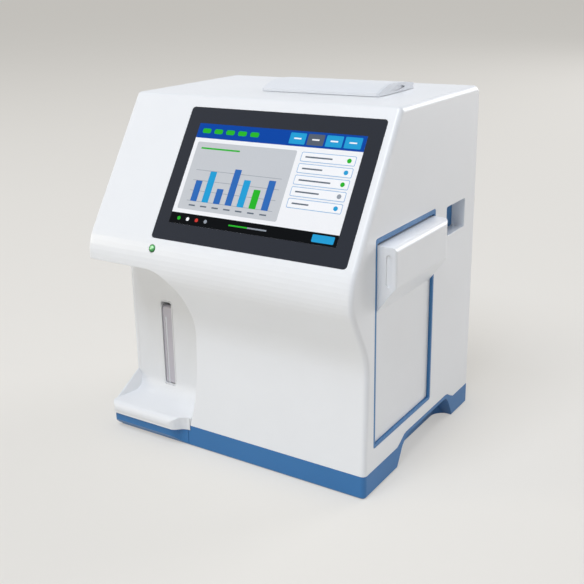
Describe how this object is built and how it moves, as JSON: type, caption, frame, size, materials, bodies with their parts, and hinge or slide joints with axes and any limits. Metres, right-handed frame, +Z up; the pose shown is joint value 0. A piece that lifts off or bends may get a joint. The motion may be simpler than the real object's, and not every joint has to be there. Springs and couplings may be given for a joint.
{
  "type": "electrolyte analyzer",
  "caption": "Electrolyte analyzer: sloped touch screen over an open sample bay with a swing-out probe, side-loading reagent pack, roll printer under a lid, blue base with hand grips.",
  "frame": {"origin": "on the table, under the middle of the outer box", "axes": "+X to the right seen from the front, front towards -Y, +Z up"},
  "size_m": [0.2754, 0.2329, 0.312],
  "materials": {
    "shell_white": "satin moulded",
    "bay_white": "satin moulded",
    "base_blue": "fine grain moulded",
    "liner_blue": "fine grain moulded",
    "foot_rubber": "matt",
    "steel": "drawn",
    "probe_grey": "satin",
    "tube_clear": "translucent",
    "screen_glass": "polished",
    "display_dark": "matt",
    "lamp_green": "clear tinted",
    "pack_grey": "satin",
    "film_blue": "film",
    "film_amber": "film",
    "port_grey": "matt",
    "manifold_grey": "machined",
    "lid_grey": "satin",
    "well_grey": "satin",
    "mechanism_grey": "satin",
    "roller_rubber": "ground",
    "paper": "thermal paper",
    "holder_ivory": "machined",
    "electrode_tan": "clear tinted",
    "electrode_brown": "clear tinted",
    "motor_dark": "satin",
    "tube_amber": "satin",
    "panel_grey": "powder coated",
    "board_green": "solder mask",
    "brass": "turned",
    "supply_metal": "sheet",
    "black_plastic": "satin"
  },
  "bodies": {
    "frame": {"base_pan": "base_blue", "rubber_feet": "foot_rubber", "base_screws": "steel", "housing": "shell_white", "sample_bay": "bay_white", "slot_bezel": "bay_white", "probe_pivot": "steel", "sample_line": "tube_clear", "touch_glass": "screen_glass", "lcd_module": "display_dark", "screen_bracket": "steel", "status_led": "lamp_green", "pack_bay": "liner_blue", "port_manifold": "manifold_grey", "port_needles": "steel", "lid_hinge_pin": "steel", "printer_well": "well_grey", "printer_mechanism": "mechanism_grey", "paper_spindle": "black_plastic", "chassis_plate": "steel", "electrode_holder": "holder_ivory", "ion_electrodes": "electrode_tan", "reference_electrode": "electrode_brown", "electrode_clamp": "lid_grey", "pump_motor": "motor_dark", "pump_housing": "well_grey", "pump_tube": "tube_amber", "pinch_valve": "motor_dark", "rear_panel": "panel_grey", "rear_screws": "steel", "main_board": "board_green", "board_standoffs": "brass", "data_ports": "steel", "power_supply": "supply_metal", "power_inlet": "black_plastic", "switch_frame": "black_plastic", "fan_frame": "black_plastic"},
    "probe": {"probe_arm": "probe_grey", "probe_needle": "steel"},
    "pack": {"pack_front": "shell_white", "pack_case": "pack_grey", "standard_pouch_a": "film_blue", "standard_pouch_b": "film_blue", "waste_pouch": "film_amber", "pack_ports": "port_grey"},
    "lid": {"printer_lid": "shell_white", "lid_end_grip": "lid_grey"},
    "platen": {"platen_roller": "roller_rubber"},
    "roll": {"paper_roll": "paper"},
    "pump": {"pump_rotor": "lid_grey", "pump_rollers": "bay_white"},
    "plunger": {"valve_plunger": "steel"},
    "rocker": {"power_rocker": "black_plastic"},
    "fan": {"fan_rotor": "black_plastic"}
  },
  "joints": [
    {"name": "probe_swing", "type": "hinge", "parent": "frame", "child": "probe", "pos_m": [-0.09855, -0.05874, 0.111], "axis": [-1, 0, 0], "range_deg": [0, 60]},
    {"name": "pack_slide", "type": "slide", "parent": "frame", "child": "pack", "axis": [1, 0, 0], "range_m": [0, 0.1]},
    {"name": "lid_hinge", "type": "hinge", "parent": "frame", "child": "lid", "pos_m": [0.02225, 0.06906, 0.3062], "axis": [-1, 0, 0], "range_deg": [0, 95]},
    {"name": "platen_spin", "type": "hinge", "parent": "frame", "child": "platen", "pos_m": [0.02025, 0.01966, 0.2975], "axis": [1, 0, 0], "continuous": true},
    {"name": "roll_spin", "type": "hinge", "parent": "frame", "child": "roll", "pos_m": [0.02025, 0.03746, 0.2765], "axis": [1, 0, 0], "continuous": true},
    {"name": "pump_spin", "type": "hinge", "parent": "frame", "child": "pump", "pos_m": [-0.02875, -0.00254, 0.078], "axis": [1, 0, 0], "continuous": true},
    {"name": "valve_stroke", "type": "slide", "parent": "frame", "child": "plunger", "axis": [1, 0, 0], "range_m": [0, 0.002]},
    {"name": "rocker_tip", "type": "hinge", "parent": "frame", "child": "rocker", "pos_m": [0.02825, 0.11246, 0.066], "axis": [-1, 0, 0], "range_deg": [0, 16]},
    {"name": "fan_spin", "type": "hinge", "parent": "frame", "child": "fan", "pos_m": [0.05225, 0.10546, 0.168], "axis": [0, 1, 0], "continuous": true}
  ],
  "couplings": [
    {"joint": "platen_spin", "follows": "roll_spin", "ratio": 3.8}
  ]
}
